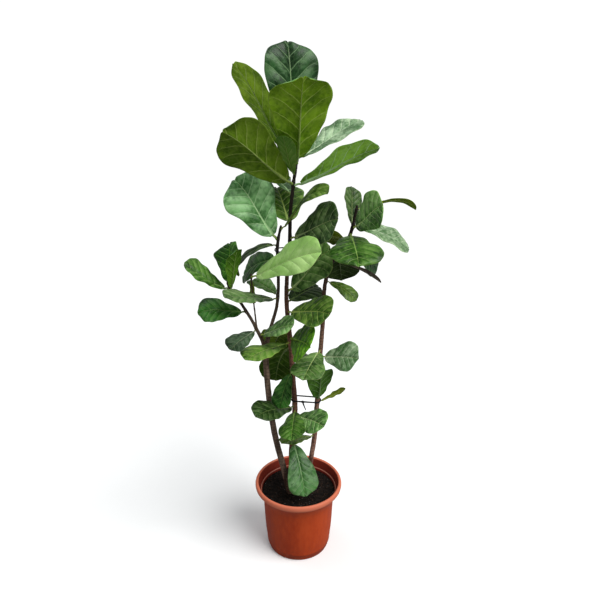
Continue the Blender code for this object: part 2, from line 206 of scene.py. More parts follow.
# %% [markdown]
# The second group draws a leaf's veins from its own map. Along the leaf the
# map's V runs from stalk to tip, and across it U runs from margin to margin,
# with the midrib at a half. The blade's rows are laid out along its side
# veins, so a side vein is a line of equal V: one at every step of PAIR_STEP,
# the right-hand ones a little further on than the left-hand ones. A last
# output rises from each side vein to the next: it is the mask of a painted
# highlight on the far side of every pucker, where it faces the light.

# %% Group: veins
FIRST_PAIR, PAIR_STEP, SIDE_SHIFT = 0.030, 0.155, 0.035

VEINS, takes, gives = group(
    "leaf veins", {"Vector": "Vector"},
    {"Midrib": "Float", "Side veins": "Float", "Net": "Float", "Margin": "Float", "Slope": "Float"})
parts = put(VEINS, "SeparateXYZ", {0: takes["Vector"]}).outputs
out = sums(VEINS, "ABSOLUTE", sums(VEINS, "MULTIPLY", sums(VEINS, "SUBTRACT", parts[0], 0.5), 2.0))
narrow = fade(VEINS, parts[1], 0.0, 0.45, 0.20, 1.0)
rib_width = sums(VEINS, "DIVIDE", fade(VEINS, parts[1], 0.0, 1.0, 0.060, 0.014), narrow)
rib = fade(VEINS, sums(VEINS, "DIVIDE", out, rib_width), 0.35, 1.0, 1.0, 0.0)
right = sums(VEINS, "MULTIPLY", sums(VEINS, "GREATER_THAN", parts[0], 0.5), SIDE_SHIFT)
wander = put(VEINS, "TexNoise", {"Vector": takes["Vector"], "Scale": 5.0, "Detail": 1.0}).outputs[0]
wander = sums(VEINS, "MULTIPLY", sums(VEINS, "SUBTRACT", wander, 0.5), 0.045)
along = sums(VEINS, "ADD", sums(VEINS, "SUBTRACT", parts[1], right), wander)
phase = sums(VEINS, "DIVIDE", sums(VEINS, "SUBTRACT", along, FIRST_PAIR), PAIR_STEP)
off = sums(VEINS, "PINGPONG", phase, 0.5)
width = fade(VEINS, out, 0.0, 1.0, 0.090, 0.032)
side = fade(VEINS, sums(VEINS, "DIVIDE", off, width), 0.25, 1.0, 1.0, 0.0)
side = sums(VEINS, "MULTIPLY", side, fade(VEINS, out, 0.80, 0.99, 1.0, 0.0))
stretched = put(VEINS, "Mapping", {0: takes["Vector"], 3: (9.0, 15.0, 1.0)}).outputs[0]
cells = put(VEINS, "TexVoronoi", {"Vector": stretched, "Scale": 1.0},
            feature="DISTANCE_TO_EDGE").outputs[0]
VEINS.links.new(rib, gives["Midrib"])
VEINS.links.new(side, gives["Side veins"])
VEINS.links.new(fade(VEINS, cells, 0.02, 0.11, 1.0, 0.0), gives["Net"])
VEINS.links.new(fade(VEINS, out, 0.955, 0.995), gives["Margin"])
# This mask paints a highlight that grows across each pucker towards the next side vein, where its slope
# faces the light.
pucker_highlight_mask = fade(VEINS, sums(VEINS, "FRACT", phase), 0.10, 0.90)
VEINS.links.new(sums(VEINS, "MULTIPLY", pucker_highlight_mask, fade(VEINS, out, 0.05, 0.30)), gives["Slope"])
print("vein group ready")


# %% A new finish
def finish(name, **constants):
    """A material, its tree and its Principled shader, with fixed values set."""
    made = bpy.data.materials.new(name)
    made.use_nodes = True
    shader = made.node_tree.nodes["Principled BSDF"]
    for key, value in constants.items():
        shader.inputs[key.replace("_", " ").title().replace("Ior", "IOR")].default_value = value
    return made, made.node_tree, shader


def feed(tree, shader, colour=None, roughness=None, height=None, depth=0.001, strength=1.0):
    """Links a colour, a roughness and a bump height to the shader."""
    if colour is not None:
        tree.links.new(colour, shader.inputs["Base Color"])
    if roughness is not None:
        tree.links.new(roughness, shader.inputs["Roughness"])
    if height is not None:
        bump = put(tree, "Bump", {"Height": height, "Distance": depth, "Strength": strength})
        tree.links.new(bump.outputs[0], shader.inputs["Normal"])


def piece(name, mesh, skins, slot, *stands_for):
    """Makes an object of a bmesh. It rides on the root and hides its solids."""
    data = bpy.data.meshes.new(name)
    mesh.to_mesh(data)
    mesh.free()
    for skin in skins:
        data.materials.append(skin)
    data.shade_smooth()
    made = bpy.data.objects.new(name, data)
    bpy.context.scene.collection.objects.link(made)
    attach(made, "root")
    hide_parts(*stands_for)
    return made


print("helpers ready")

# %% [markdown]
# ## Floor
# The floor is a wide pale sheet. It is part of the studio, not of the plant.
# It looks bright but throws back little light, or the pot's shaded side and
# the undersides of the leaves would turn grey.

# %% Floor
mesh = bmesh.new()
bmesh.ops.create_circle(mesh, cap_ends=True, segments=96, radius=30)
data = bpy.data.meshes.new("studio_floor")
mesh.to_mesh(data)
mesh.free()
floor = bpy.data.objects.new("studio_floor", data)
bpy.context.scene.collection.objects.link(floor)
pale, tree, shader = finish("studio_floor", roughness=1.0, specular_ior_level=0.0)
spot = put(tree, "TexCoord").outputs["Object"]
mix = put(tree, "Group", {"Vector": spot, "Scale": 0.8, "Low": rgb(0.935, 0.940, 0.945),
                          "High": rgb(0.955, 0.960, 0.965)}, node_tree=MOTTLE)
seen = put(tree, "LightPath").outputs["Is Camera Ray"]
feed(tree, shader, dye(tree, seen, rgb(0.33, 0.33, 0.33), mix.outputs["Colour"]))
data.materials.append(pale)
print("floor laid")

# %% [markdown]
# ## Pot
# A nursery pot is injection moulded from thin terracotta-coloured plastic.
# Half of its section, turned once round the axis, is the whole shape, so it
# is drawn as a line of points and spun. A deep rolled lip stiffens it, a
# ledge inside lets pots stack, and faint rings from the mould run round its
# foot.

# %% Pot section
pot_low, pot_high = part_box("pot")
TOP, RIM = pot_high.z, pot_high.x
BODY, FOOT, WALL = RIM - 0.0270, RIM - 0.0355, 0.0030
SOIL_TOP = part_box("soil")[1].z - 0.0020
LIP = TOP - 0.0200

outside = [
    (0, 0), (0.040, 0), (0.080, 0), (FOOT - 0.0110, 0), (FOOT - 0.0080, 0.0012),
    (FOOT - 0.0062, 0.0060), (FOOT - 0.0052, 0.0105), (FOOT - 0.0046, 0.0110),
    (FOOT - 0.0042, 0.0150), (FOOT - 0.0034, 0.0156), (FOOT - 0.0030, 0.0200),
    (FOOT - 0.0021, 0.0206), (FOOT - 0.0018, 0.0260), (FOOT, 0.0450),
    (BODY - 0.0058, 0.0720), (BODY - 0.0040, 0.1000), (BODY - 0.0019, 0.1450),
    (BODY, LIP - 0.0460), (BODY + 0.0010, LIP - 0.0390), (BODY + 0.0025, LIP - 0.0330),
    (BODY + 0.0047, LIP - 0.0255), (BODY + 0.0075, LIP - 0.0190), (BODY + 0.0102, LIP - 0.0130),
    (BODY + 0.0130, LIP - 0.0080), (BODY + 0.0165, LIP - 0.0040), (BODY + 0.0200, LIP - 0.0015),
    (RIM - 0.0048, LIP - 0.0002), (RIM - 0.0022, LIP + 0.0014), (RIM - 0.0008, LIP + 0.0040),
    (RIM, LIP + 0.0080), (RIM - 0.0001, LIP + 0.0125), (RIM - 0.0009, TOP - 0.0040),
    (RIM - 0.0027, TOP - 0.0013), (RIM - 0.0056, TOP),
]
inside = [
    (RIM - 0.0084, TOP - 0.0008), (RIM - 0.0103, TOP - 0.0030), (RIM - 0.0118, TOP - 0.0075),
    (RIM - 0.0135, TOP - 0.0150), (BODY + 0.0120, LIP - 0.0010), (BODY + 0.0100, LIP - 0.0060),
    (BODY + 0.0092, LIP - 0.0102), (BODY + 0.0088, LIP - 0.0109), (BODY + 0.0062, LIP - 0.0115),
    (BODY + 0.0053, LIP - 0.0124), (BODY + 0.0048, SOIL_TOP - 0.0010),
    (BODY - 0.0005, SOIL_TOP - 0.0160), (BODY - WALL, SOIL_TOP - 0.0300),
    (BODY - WALL - 0.0040, 0.1000), (FOOT - WALL, 0.0450), (FOOT - 0.0060, 0.0206),
    (FOOT - 0.0085, 0.0060), (FOOT - 0.0130, 0.0030), (0.060, 0.0030), (0, 0.0030),
]
print(f"pot {2 * RIM:.3f} m across and {TOP:.3f} m high")


# %% Spin the section
def spun(section, steps):
    """A closed solid from (radius, height) points."""
    mesh = bmesh.new()
    points = [mesh.verts.new((r, 0, z)) for r, z in section]
    line = [mesh.edges.new(pair) for pair in zip(points, points[1:])]
    bmesh.ops.spin(mesh, geom=points + line, cent=(0, 0, 0), axis=(0, 0, 1),
                   angle=2 * math.pi, steps=steps, use_merge=True)
    bmesh.ops.remove_doubles(mesh, verts=mesh.verts, dist=0.00005)
    bmesh.ops.recalc_face_normals(mesh, faces=mesh.faces)
    return mesh


def solid(name, mesh):
    """A helper object of a bmesh, for a modifier to work on."""
    data = bpy.data.meshes.new(name)
    mesh.to_mesh(data)
    mesh.free()
    made = bpy.data.objects.new(name, data)
    bpy.context.scene.collection.objects.link(made)
    return made


def applied(*helpers):
    """The first helper with its modifiers applied, as a bmesh. All are removed."""
    seen = helpers[0].evaluated_get(bpy.context.evaluated_depsgraph_get())
    mesh = bmesh.new()
    data = bpy.data.meshes.new_from_object(seen)
    mesh.from_mesh(data)
    for helper in helpers:
        bpy.data.objects.remove(helper)
    return mesh


body = solid("pot_body", spun(outside + inside, 144))
holes = bmesh.new()
for turn in range(6):
    at = Matrix.Rotation(math.radians(60 * turn + 30), 4, "Z") @ Matrix.Translation((0.055, 0, 0))
    bmesh.ops.create_cone(holes, cap_ends=True, segments=24, radius1=0.006, radius2=0.006,
                          depth=0.02, matrix=at)
drain = solid("drain_holes", holes)
cut = body.modifiers.new("drain holes", "BOOLEAN")
cut.object, cut.solver = drain, "EXACT"
pot_mesh = applied(body, drain)
pot_mesh.normal_update()
# Faces that look inward above the soil take the second finish: a darker copy of the plastic that paints the
# shade inside the pot.
for face in pot_mesh.faces:
    spot = face.calc_center_median()
    inward = face.normal.dot(Vector((spot.x, spot.y, 0)).normalized())
    face.material_index = 1 if inward < -0.15 and LIP - 0.09 < spot.z < TOP - 0.0045 else 0
print(f"pot has {len(pot_mesh.faces)} faces")

# %% [markdown]
# The plastic is a warm red brown with a satin skin. The lip is paler, a
# pinkish orange: partly sun and handling fading it, and partly a painted
# highlight where it catches the light. A pale line along the stacking ledge
# is a painted highlight too, and the inside is a darker, redder copy of the
# plastic, which is painted shade. A little dried soil and dust clings round
# the foot. Fine lines from the mould's turning run round the wall: they are a
# wave on the height, which a bump turns into shading.


# %% Pot plastic
def moulded(name, low, high, lip_colour):
    """Moulded plastic, paler where it is high from fading and a painted highlight, and soiled where it is
    low.
    """
    made, tree, shader = finish(name, coat_weight=0.04, coat_roughness=0.35, specular_ior_level=0.16)
    spot = put(tree, "TexCoord").outputs["Object"]
    height = put(tree, "SeparateXYZ", {0: spot}).outputs[2]
    streak = put(tree, "Mapping", {0: spot, 3: (1.0, 1.0, 0.35)}).outputs[0]
    base = put(tree, "Group", {"Vector": streak, "Scale": 11.0, "Low": rgb(*low), "High": rgb(*high)},
               node_tree=MOTTLE).outputs
    # The paler lip is partly sun fading and partly a painted highlight where the lip catches the light.
    lip = sums(tree, "MULTIPLY", fade(tree, height, LIP - 0.016, LIP + 0.006), 0.92)
    colour = dye(tree, lip, base["Colour"], rgb(*lip_colour))
    # A painted highlight: a pale line along the top of the stacking ledge.
    ledge = sums(tree, "MULTIPLY", fade(tree, height, LIP - 0.0118, LIP - 0.0112),
                 fade(tree, height, LIP - 0.0106, LIP - 0.0098, 1.0, 0.0))
    colour = dye(tree, sums(tree, "MULTIPLY", ledge, 0.5), colour, rgb(0.62, 0.26, 0.18))
    specks = put(tree, "TexNoise", {"Vector": spot, "Scale": 140.0, "Detail": 3.0}).outputs[0]
    soiled = sums(tree, "MULTIPLY", fade(tree, specks, 0.54, 0.68),
                  fade(tree, height, 0.002, 0.085, 0.40, 0.03))
    colour = dye(tree, soiled, colour, rgb(0.110, 0.045, 0.022))
    lines = put(tree, "TexWave", {"Vector": spot, "Scale": 130.0, "Distortion": 0.4, "Detail": 1.0},
                bands_direction="Z").outputs["Fac"]
    grain = put(tree, "TexNoise", {"Vector": spot, "Scale": 900.0}).outputs[0]
    relief = sums(tree, "ADD", sums(tree, "MULTIPLY", lines, 0.35), sums(tree, "MULTIPLY", grain, 0.30))
    feed(tree, shader, colour, fade(tree, base["Value"], 0, 1, 0.42, 0.56), relief, 0.0003, 0.6)
    return made


plastic = moulded("pot_plastic", (0.350, 0.034, 0.004), (0.470, 0.060, 0.011), (0.640, 0.180, 0.100))
# The inside finish is the plastic made darker and redder: painted shade.
painted_shade_lining = moulded("pot_inside_painted_shade", (0.110, 0.010, 0.005), (0.170, 0.018, 0.010), (0.230, 0.030, 0.016))
piece("pot_shell", pot_mesh, [plastic, painted_shade_lining], "pot_plastic", "pot")
print("pot done")

# %% [markdown]
# ## Compost
# Potting compost is dark peat with bark chips and pale grit. Its surface is
# a disc of fine rings, pushed up and down by noise and heaped a little
# round each stem. Loose crumbs lie on it: small squashed icospheres of
# twenty faces each, since there are hundreds of them.

# %% Compost surface
STEMS = ("left_stem", "middle_stem", "right_stem")
SOIL_EDGE = BODY + 0.0043


def foot_of(name):
    """Where a stem leaves the compost."""
    near = [v.co for v in solids[name].data.vertices if SOIL_TOP - 0.012 < v.co.z < SOIL_TOP + 0.012]
    return sum(near, Vector()) / len(near)


feet = [foot_of(name) for name in STEMS]


def soil_height(x, y):
    """Height of the compost's surface over the floor."""
    lump = noise.fractal(Vector((x, y, 0.3)) * 62.0, 1.0, 2.0, 3) * 0.0022
    crumb = noise.noise(Vector((x, y, 1.7)) * 240.0) * 0.0007
    heap = sum(0.0035 * math.exp(-((x - f.x) ** 2 + (y - f.y) ** 2) / 0.0009) for f in feet)
    reach = math.hypot(x, y) / SOIL_EDGE
    return SOIL_TOP - 0.0015 + (lump + crumb) * (1 - 0.6 * reach ** 6) + heap


rings = 46
section = [(0, 0.0034), (FOOT - 0.0140, 0.0034), (FOOT - 0.0036, 0.0450),
           (BODY - WALL - 0.0045, 0.1000), (BODY - WALL - 0.0005, SOIL_TOP - 0.0300),
           (BODY - 0.0010, SOIL_TOP - 0.0160), (SOIL_EDGE - 0.0010, SOIL_TOP - 0.0030)]
section += [(SOIL_EDGE * (1 - i / rings), SOIL_TOP) for i in range(rings + 1)]
mesh = spun(section, 132)
for vert in mesh.verts:
    if vert.co.z > SOIL_TOP - 0.0001:
        vert.co.z = soil_height(vert.co.x, vert.co.y)
print(f"compost surface of {len(mesh.faces)} faces")

# %% Crumbs, bark chips and grit
dice = random.Random(7)
KINDS = ((1, 0.0016, 0.0034), (2, 0.0022, 0.0050), (3, 0.0009, 0.0016))
for i in range(760):
    kind, small, large = KINDS[0 if i % 10 < 6 else 1 if i % 10 < 9 else 2]
    turn, reach = dice.uniform(0, 2 * math.pi), (SOIL_EDGE - 0.004) * math.sqrt(dice.random())
    x, y = reach * math.cos(turn), reach * math.sin(turn)
    size = dice.uniform(small, large)
    at = (Matrix.Translation((x, y, soil_height(x, y) + size * 0.15))
          @ Matrix.Rotation(dice.uniform(0, 6.28), 4, "Z")
          @ Matrix.Rotation(dice.uniform(-0.6, 0.6), 4, "X")
          @ Matrix.Diagonal((1.0, dice.uniform(0.5, 0.9), dice.uniform(0.25, 0.6), 1)))
    chip = bmesh.ops.create_icosphere(mesh, subdivisions=1, radius=size, matrix=at)["verts"]
    for vert in chip:
        vert.co += Vector([dice.uniform(-0.15, 0.15) * size for _ in range(3)])
        for face in vert.link_faces:
            face.material_index = kind
print("crumbs scattered")


# %% Compost finishes
def crumbly(name, low, high, scale, roughness):
    """A rough mottled finish for compost and what lies in it."""
    made, tree, shader = finish(name, specular_ior_level=0.12)
    spot = put(tree, "TexCoord").outputs["Object"]
    mix = put(tree, "Group", {"Vector": spot, "Scale": scale, "Low": rgb(*low), "High": rgb(*high)},
              node_tree=MOTTLE).outputs
    pits = put(tree, "TexNoise", {"Vector": spot, "Scale": scale * 4, "Detail": 4.0}).outputs[0]
    feed(tree, shader, mix["Colour"], fade(tree, pits, 0.3, 0.7, roughness, 1.0), pits, 0.0015, 0.8)
    return made


compost = [
    crumbly("compost", (0.0015, 0.0010, 0.0008), (0.013, 0.009, 0.007), 90.0, 0.80),
    crumbly("compost_crumbs", (0.003, 0.002, 0.0015), (0.028, 0.019, 0.015), 150.0, 0.80),
    crumbly("bark_chips", (0.008, 0.004, 0.003), (0.040, 0.022, 0.015), 120.0, 0.75),
    crumbly("pale_grit", (0.100, 0.100, 0.100), (0.300, 0.300, 0.290), 200.0, 0.65),
]
piece("compost_surface", mesh, compost, "compost", "soil")
print("compost done")

# %% [markdown]
# ## Stems
# Each stem is a cane of thin grey-brown bark. It swells where a stalk joins
# it, and narrow ridged scars circle it where older leaves fell. The solid is
# only eight-sided, so its merged copy is remeshed into small even faces,
# smoothed until it is round, and then moved along its normals by all three
# effects together.


# %% Even faces
def merged(name):
    """A bmesh of a solid, with its loose triangles joined."""
    mesh = bmesh.new()
    mesh.from_mesh(solids[name].data)
    bmesh.ops.remove_doubles(mesh, verts=mesh.verts, dist=0.00002)
    return mesh


def even(name, size):
    """A solid's copy in small even faces."""
    copy = solid(name + "_copy", merged(name))
    remesh = copy.modifiers.new("even faces", "REMESH")
    remesh.mode, remesh.voxel_size = "VOXEL", size
    return applied(copy)


def stalk_feet():
    """Where every stalk leaves the bark: the point of each leaf nearest a stem."""
    barks = [BVHTree.FromBMesh(merged(name)) for name in STEMS]
    found = {}
    for name in solids:
        if "_leaf_" in name:
            spots = [v.co for v in solids[name].data.vertices]
            found[name] = min(spots, key=lambda p: min(b.find_nearest(p)[3] for b in barks))
    return found


joints = stalk_feet()
print(f"{len(joints)} stalks found")


# %% Bark relief
def bark_relief(mesh, seed):
    """Swells, scars and roughens a round stem."""
    dice = random.Random(seed)
    scars, z = [], SOIL_TOP + 0.02
    while z < 1.45:
        scars.append((z, dice.uniform(0, 6.28), dice.uniform(0.5, 1.0)))
        z += dice.uniform(0.016, 0.044)
    for vert in mesh.verts:
        p = vert.co
        rough = noise.fractal(Vector((p.x * 190, p.y * 190, p.z * 42)), 1.0, 2.0, 3) * 0.00045
        knot = sum(0.0016 * math.exp(-((p - q).length / 0.0075) ** 2)
                   for q in joints.values() if abs(q.z - p.z) < 0.02)
        scar = 0.0
        for z, turn, deep in scars:
            gap = (p.z - z) / 0.0016
            if abs(gap) < 4:
                scar += deep * (0.00050 * math.exp(-(gap / 2.4) ** 2) - 0.00085 * math.exp(-gap ** 2))
        p += vert.normal * (rough + knot + scar)


bark_meshes = {}
for number, name in enumerate(STEMS):
    mesh = even(name, 0.0019)
    for _ in range(7):
        bmesh.ops.smooth_vert(mesh, verts=mesh.verts, factor=0.5, use_axis_x=True,
                              use_axis_y=True, use_axis_z=True)
    mesh.normal_update()
    bark_relief(mesh, number)
    bark_meshes[name] = mesh
    print(f"{name}: {len(mesh.faces)} faces")

# %% [markdown]
# Bark is streaked along the stem, so its noise is squeezed in X and Y and
# stretched in Z. Towards the top of each cane the bark darkens to near black,
# and near the pot it is paler and grey brown. Pale corky pores dot it all the
# way up. Each cane is a little different, so the finish is a function.


# %% Bark
def bark(name, low, high, top):
    """Streaked bark that darkens to near black towards the top of the stem."""
    made, tree, shader = finish(name, specular_ior_level=0.20)
    spot = put(tree, "TexCoord").outputs["Object"]
    height = put(tree, "SeparateXYZ", {0: spot}).outputs[2]
    long = put(tree, "Mapping", {0: spot, 3: (1.0, 1.0, 0.16)}).outputs[0]
    streak = put(tree, "Group", {"Vector": long, "Scale": 95.0, "Low": rgb(*low), "High": rgb(*high)},
                 node_tree=MOTTLE).outputs
    colour = dye(tree, fade(tree, height, 0.72, 1.10), streak["Colour"], rgb(*top))
    flat = put(tree, "Mapping", {0: spot, 3: (1.0, 1.0, 1.9)}).outputs[0]
    pores = put(tree, "TexVoronoi", {"Vector": flat, "Scale": 150.0}).outputs["Distance"]
    pores = fade(tree, pores, 0.10, 0.22, 0.45, 0.0)
    colour = dye(tree, pores, colour, rgb(0.110, 0.080, 0.058))
    rings = put(tree, "TexWave", {"Vector": spot, "Scale": 26.0, "Distortion": 6.0, "Detail": 2.0,
                                  "Detail Scale": 1.4}, bands_direction="Z").outputs["Fac"]
    colour = dye(tree, fade(tree, rings, 0.86, 0.98, 0.0, 0.5), colour, rgb(0.010, 0.006, 0.005))
    relief = sums(tree, "ADD", streak["Value"], sums(tree, "MULTIPLY", pores, 0.8))
    feed(tree, shader, colour, fade(tree, streak["Value"], 0, 1, 0.58, 0.85), relief, 0.0008, 0.8)
    return made


barks = {
    "left_stem": bark("left_bark", (0.052, 0.032, 0.022), (0.200, 0.135, 0.098), (0.018, 0.014, 0.010)),
    "middle_stem": bark("middle_bark", (0.105, 0.038, 0.025), (0.300, 0.140, 0.095),
                        (0.016, 0.012, 0.008)),
    "right_stem": bark("right_bark", (0.105, 0.046, 0.032), (0.330, 0.180, 0.132),
                       (0.018, 0.013, 0.009)),
}
for name, mesh in bark_meshes.items():
    piece(name.replace("stem", "cane"), mesh, [barks[name]], "bark", name)
print("three canes done")

# %% [markdown]
# ## Ties
# Two loops of dark plastic-coated wire hold the canes together. The solids
# are six-sided loops, so a subdivision surface on their merged copies makes
# them round. It also makes them thinner, so they are swollen back a little.

# %% Ties
coated, tree, shader = finish("tie_wire", specular_ior_level=0.15)
spot = put(tree, "TexCoord").outputs["Object"]
mix = put(tree, "Group", {"Vector": spot, "Scale": 160.0, "Low": rgb(0.004, 0.004, 0.006),
                          "High": rgb(0.014, 0.015, 0.020)}, node_tree=MOTTLE).outputs
ribs = put(tree, "TexWave", {"Vector": spot, "Scale": 420.0}, bands_direction="DIAGONAL").outputs["Fac"]
feed(tree, shader, mix["Colour"], fade(tree, mix["Value"], 0, 1, 0.35, 0.55), ribs, 0.0002, 0.6)
SWELL = 0.0008
for name in ("upper_tie", "lower_tie"):
    copy = solid(name + "_copy", merged(name))
    copy.modifiers.new("round", "SUBSURF").levels = 2
    mesh = applied(copy)
    mesh.normal_update()
    for vert in mesh.verts:
        vert.co += vert.normal * SWELL
    piece(name + "_wire", mesh, [coated], "tie_wire", name)
print("ties done")

# %% [markdown]
# ## Leaves
# A fiddle leaf is a stiff leathery blade with a waist like a violin's. It
# puckers between its veins, which sink into the upper face and stand out
# below, and its margin waves.
#
# Each leaf solid is a chain of eight-cornered sections from stalk to tip.
# Reading those sections back gives the new leaf its place, curve, width,
# roll and cup. The first eight corners are the ones nearest the bark, and
# every further section is whatever the last one touches.


# %% Read a leaf's sections
def sections(name):
    """A leaf's middle line, both half-widths and its upper side, base first."""
    mesh = merged(name)
    seen = sorted(mesh.verts, key=lambda v: (v.co - joints[name]).length)[:8]
    rings, done = [seen], set(seen)
    while len(done) < len(mesh.verts):
        touched = {e.other_vert(v) for v in rings[-1] for e in v.link_edges} - done
        rings.append(list(touched))
        done |= touched
    middles = [sum((v.co for v in ring), Vector()) / 8 for ring in rings]
    rows, up = [], None
    for i, ring in enumerate(rings):
        spots = [v.co.copy() for v in ring]
        a, b = max(((p, q) for p in spots for q in spots), key=lambda pair: (pair[0] - pair[1]).length)
        others = [p for p in spots if p is not a and p is not b]
        ahead = (middles[min(i + 1, len(rings) - 1)] - middles[max(i - 1, 0)]).normalized()
        normal = ahead.cross(b - a).normalized()
        if up is None:
            up = (a + b) / 2 - sum(others, Vector()) / 6
        normal *= 1 if normal.dot(up) > 0 else -1
        up = normal
        left, right = (a, b) if ahead.cross(normal).dot(b - a) > 0 else (b, a)
        across = (right - left).normalized()
        near = sorted(others, key=lambda p: abs((p - (a + b) / 2).dot(across)))[:2]
        middle = max(near, key=lambda p: p.dot(normal)) - normal * 0.0007
        rows.append((middle if i > 1 else (a + b) / 2, left, right, normal))
    mesh.free()
    middle, left, right, normal = (np.array([[*v] for v in part]) for part in zip(*rows))
    return {"middle": middle, "left": left - middle, "right": right - middle, "up": normal}


leaves = {name: sections(name) for name in sorted(joints)}
counts = {len(leaf["middle"]) for leaf in leaves.values()}
print(f"{len(leaves)} leaves read, sections in each: {counts}")

# %% [markdown]
# Between sections everything glides on a cubic curve. `spots` says how far
# along the blade each section is, from its own middle line.


# %% Glide between sections
def glide(spots, rows, where):
    """Rows at any place, on a smooth curve through the sections."""
    slopes = np.gradient(rows, spots, axis=0)
    k = np.clip(np.searchsorted(spots, where) - 1, 0, len(spots) - 2)
    step = (spots[k + 1] - spots[k])[:, None]
    t = (where - spots[k])[:, None] / step
    return ((2 * t ** 3 - 3 * t ** 2 + 1) * rows[k] + (t ** 3 - 2 * t ** 2 + t) * step * slopes[k]
            + (3 * t ** 2 - 2 * t ** 3) * rows[k + 1] + (t ** 3 - t ** 2) * step * slopes[k + 1])


def measure(leaf):
    """Adds the places of a leaf's blade sections, and the blade's size."""
    middle = leaf["middle"][2:]
    run = np.concatenate([[0], np.cumsum(np.linalg.norm(np.diff(middle, axis=0), axis=1))])
    leaf["spots"], leaf["length"] = run / run[-1], run[-1]
    half = (np.linalg.norm(leaf["left"], axis=1) + np.linalg.norm(leaf["right"], axis=1)) / 2
    leaf["half"] = half
    leaf["width"] = 2 * half.max()


for leaf in leaves.values():
    measure(leaf)
sizes = [leaf["length"] for leaf in leaves.values()]
print(f"blades from {min(sizes):.3f} to {max(sizes):.3f} m long")

# %% [markdown]
# The blade starts as a flat grid whose own map becomes the leaf's map. Its
# rows slant forward on both sides of the midrib, the way side veins grow, so
# a vein, the pucker beside it and the colour along it all follow the same
# rows. The seed of a leaf sets its waves, so no two are alike.

# %% Lay out a blade
ACROSS, ALONG, SLANT = 34, 58, 1.15


def lay_out(leaf, u, t, dice):
    """Positions for grid points: u from -1 to 1 across, t from 0 to 1 along."""
    out = np.abs(u)
    s = 1 - (1 - t) ** (1 + SLANT * out)
    rows = {key: leaf[key][2:] for key in ("middle", "left", "right", "up")}
    middle, left, right, up = (glide(leaf["spots"], rows[key], s)
                               for key in ("middle", "left", "right", "up"))
    up /= np.linalg.norm(up, axis=1)[:, None]
    half = np.linalg.norm(np.where((u < 0)[:, None], left, right), axis=1)
    turns = [dice.uniform(0, 6.28) for _ in range(6)]
    waves = [dice.uniform(low, high) for low, high in ((1.6, 2.4), (3.0, 4.4), (1.3, 2.2), (2.6, 3.8))]
    grow = np.where(u < 0, np.sin(6.28 * waves[0] * s + turns[0]), np.sin(6.28 * waves[2] * s + turns[1]))
    reach = out * (1 + 0.035 * grow * out * np.sin(math.pi * s))
    place = middle + reach[:, None] * np.where((u < 0)[:, None], left, right)
    lift = 0.2 * half * out * (1 - out)
    left_wave = np.sin(6.28 * waves[1] * s + turns[2]) + 0.5 * np.sin(6.28 * waves[0] * s + turns[3])
    right_wave = np.sin(6.28 * waves[3] * s + turns[4]) + 0.5 * np.sin(6.28 * waves[2] * s + turns[5])
    wave = np.where(u < 0, left_wave, right_wave)
    lift += 0.018 * leaf["width"] * wave * out ** 2.2 * np.clip(s * 2.5, 0, 1)
    phase = (t - np.where(u > 0, SIDE_SHIFT, 0) - FIRST_PAIR) / PAIR_STEP
    field = np.abs(np.sin(math.pi * phase)) ** 0.7
    lift += 0.017 * leaf["width"] * field * np.clip(out * 5, 0, 1) * (1 - out ** 3) * np.clip(t * 6, 0, 1)
    lift -= 0.0012 * np.exp(-(out * half / 0.0030) ** 2)
    ahead = np.gradient(leaf["middle"], axis=0)[-1]
    ahead /= np.linalg.norm(ahead)
    notch = dice.uniform(-0.25, 0.10) * np.exp(-(u / 0.45) ** 2)
    tip = np.clip((s - 0.90) / 0.10, 0, 1) ** 2 * ((1 - out ** 2) * 0.30 + notch) * leaf["half"][-1]
    return place + lift[:, None] * up + tip[:, None] * ahead, up


print("blade layout ready")

# %% [markdown]
# A duplicate of the grid, turned over and set just below, is the under side,
# and bridging the two borders closes the blade. The stalk is one circle,
# extruded and moved from section to section. It runs on under the blade as
# the midrib, getting thinner all the way.

# %% Build a leaf
THICK = 0.0006


def blade(mesh, leaf, dice):
    """The blade, closed, with its upper face first and its under face second."""
    layer = mesh.loops.layers.uv.new("leaf_uv")
    grid = bmesh.ops.create_grid(mesh, x_segments=ACROSS, y_segments=ALONG, size=1, calc_uvs=True)["verts"]
    for face in mesh.faces:
        for loop in face.loops:
            loop[layer].uv.y **= 1.25
    flat = np.array([v.co[:2] for v in grid])
    spots, up = lay_out(leaf, flat[:, 0], ((flat[:, 1] + 1) / 2) ** 1.25, dice)
    for vert, spot in zip(grid, spots):
        vert.co = spot
    copy = bmesh.ops.duplicate(mesh, geom=mesh.verts[:] + mesh.edges[:] + mesh.faces[:])
    for vert, side in zip(grid, up):
        copy["vert_map"][vert].co -= Vector(side) * THICK
    under = [f for f in copy["geom"] if isinstance(f, bmesh.types.BMFace)]
    bmesh.ops.reverse_faces(mesh, faces=under)
    border = [e for e in mesh.edges if e.is_boundary]
    rim = bmesh.ops.bridge_loops(mesh, edges=border)["faces"]
    for face in under + rim:
        face.material_index = 1


